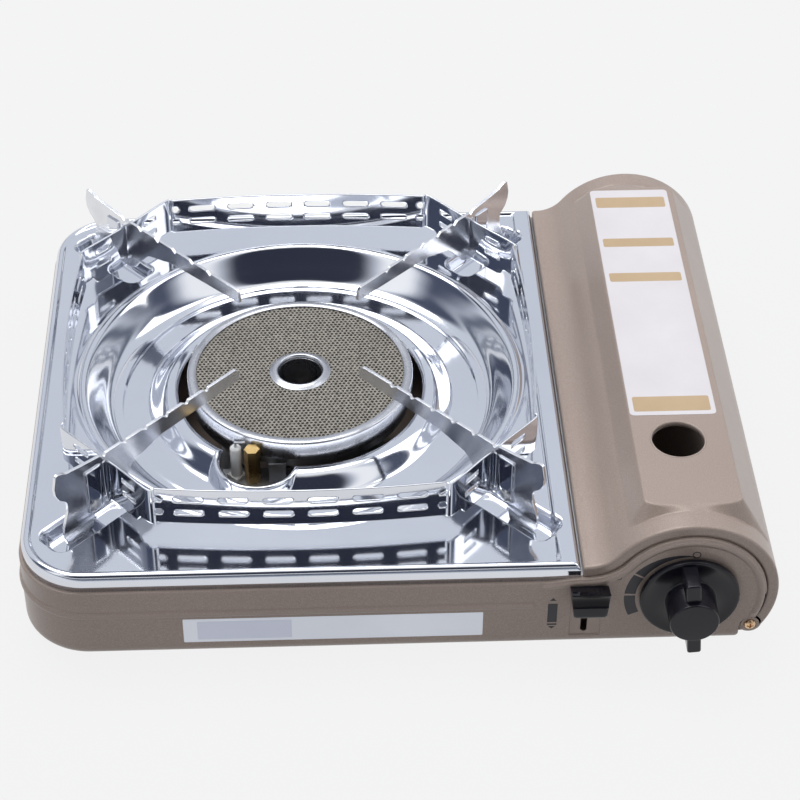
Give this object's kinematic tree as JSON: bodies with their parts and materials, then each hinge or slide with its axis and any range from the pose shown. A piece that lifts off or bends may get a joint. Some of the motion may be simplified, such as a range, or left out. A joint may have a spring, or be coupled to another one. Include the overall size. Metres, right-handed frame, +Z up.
{
  "type": "portable gas stove",
  "caption": "Tabletop cassette gas stove with a round infrared burner, mirror top plate, lift-off pan support with wind guards, hinged cartridge cover, knob and lock lever.",
  "frame": {"origin": "middle of the overall box on the table, under the feet", "axes": "+X to the cartridge side, -Y to the front with the knob, +Z up"},
  "size_m": [0.3398, 0.2956, 0.0883],
  "materials": {
    "bronze_paint": "metallic semi-gloss paint",
    "mirror_steel": "mirror polished stainless steel",
    "zinc_steel": "zinc plated sheet steel",
    "black_plastic": "satin black",
    "black_rubber": "matte",
    "brass": "plain",
    "die_cast": "die cast",
    "honeycomb": "porous, small holes",
    "fibre": "soft fibre",
    "white_ceramic": "glazed",
    "label": "bare film label"
  },
  "bodies": {
    "body": {"base_shell": "bronze_paint", "feet": "black_rubber", "top_plate": "mirror_steel", "partition": "zinc_steel", "front_label": "label", "hinge_screw_front": "brass", "hinge_screw_rear": "brass", "burner_bowl": "zinc_steel", "burner_bracket": "zinc_steel", "ceramic_plate": "honeycomb", "burner_gasket": "fibre", "burner_ring": "mirror_steel", "burner_core": "mirror_steel", "mixing_tube": "zinc_steel", "gas_jet": "brass", "gas_pipe": "die_cast", "electrode_ceramic": "white_ceramic", "electrode_wire": "zinc_steel", "electrode_bracket": "zinc_steel", "brass_post": "brass", "ignition_lead": "black_rubber", "piezo_igniter": "black_plastic", "regulator_body": "die_cast", "regulator_cap": "zinc_steel", "regulator_nozzle": "brass", "nozzle_seal": "black_rubber", "regulator_bracket": "zinc_steel", "bracket_screws": "zinc_steel", "guide_plate": "zinc_steel", "cradle": "zinc_steel", "lever_guide": "black_plastic", "slider_guide": "black_plastic", "burner_screws": "zinc_steel", "plate_screws": "zinc_steel"},
    "cover": {"cover": "bronze_paint", "cover_label": "label"},
    "control": {"knob": "black_plastic", "valve_stem": "brass"},
    "lever": {"lever_grip": "black_plastic", "lever_plate": "zinc_steel"},
    "catch": {"catch_slider": "zinc_steel"},
    "pan_support": {"arm_front_left": "mirror_steel", "arm_front_right": "mirror_steel", "arm_rear_left": "mirror_steel", "arm_rear_right": "mirror_steel", "guard_front": "mirror_steel", "guard_rear": "mirror_steel", "guard_left": "mirror_steel", "guard_right": "mirror_steel", "trivet_rivets": "mirror_steel"}
  },
  "joints": [
    {"name": "cover_hinge", "type": "hinge", "parent": "body", "child": "cover", "pos_m": [0.15865, 0, 0.0155], "axis": [0, 1, 0], "range_deg": [0, 90]},
    {"name": "knob_turn", "type": "hinge", "parent": "body", "child": "control", "pos_m": [0.12915, -0.12, 0.037], "axis": [0, -1, 0], "range_deg": [0, 140]},
    {"name": "lever_slide", "type": "slide", "parent": "body", "child": "lever", "axis": [0, 0, -1], "range_m": [0, 0.015]},
    {"name": "catch_slide", "type": "slide", "parent": "body", "child": "catch", "axis": [0, -1, 0], "range_m": [0, 0.008]},
    {"name": "support_lift", "type": "slide", "parent": "body", "child": "pan_support", "axis": [0, 0, 1], "range_m": [0, 0.06]}
  ],
  "couplings": [
    {"joint": "catch_slide", "follows": "lever_slide", "ratio": 0.53333}
  ]
}
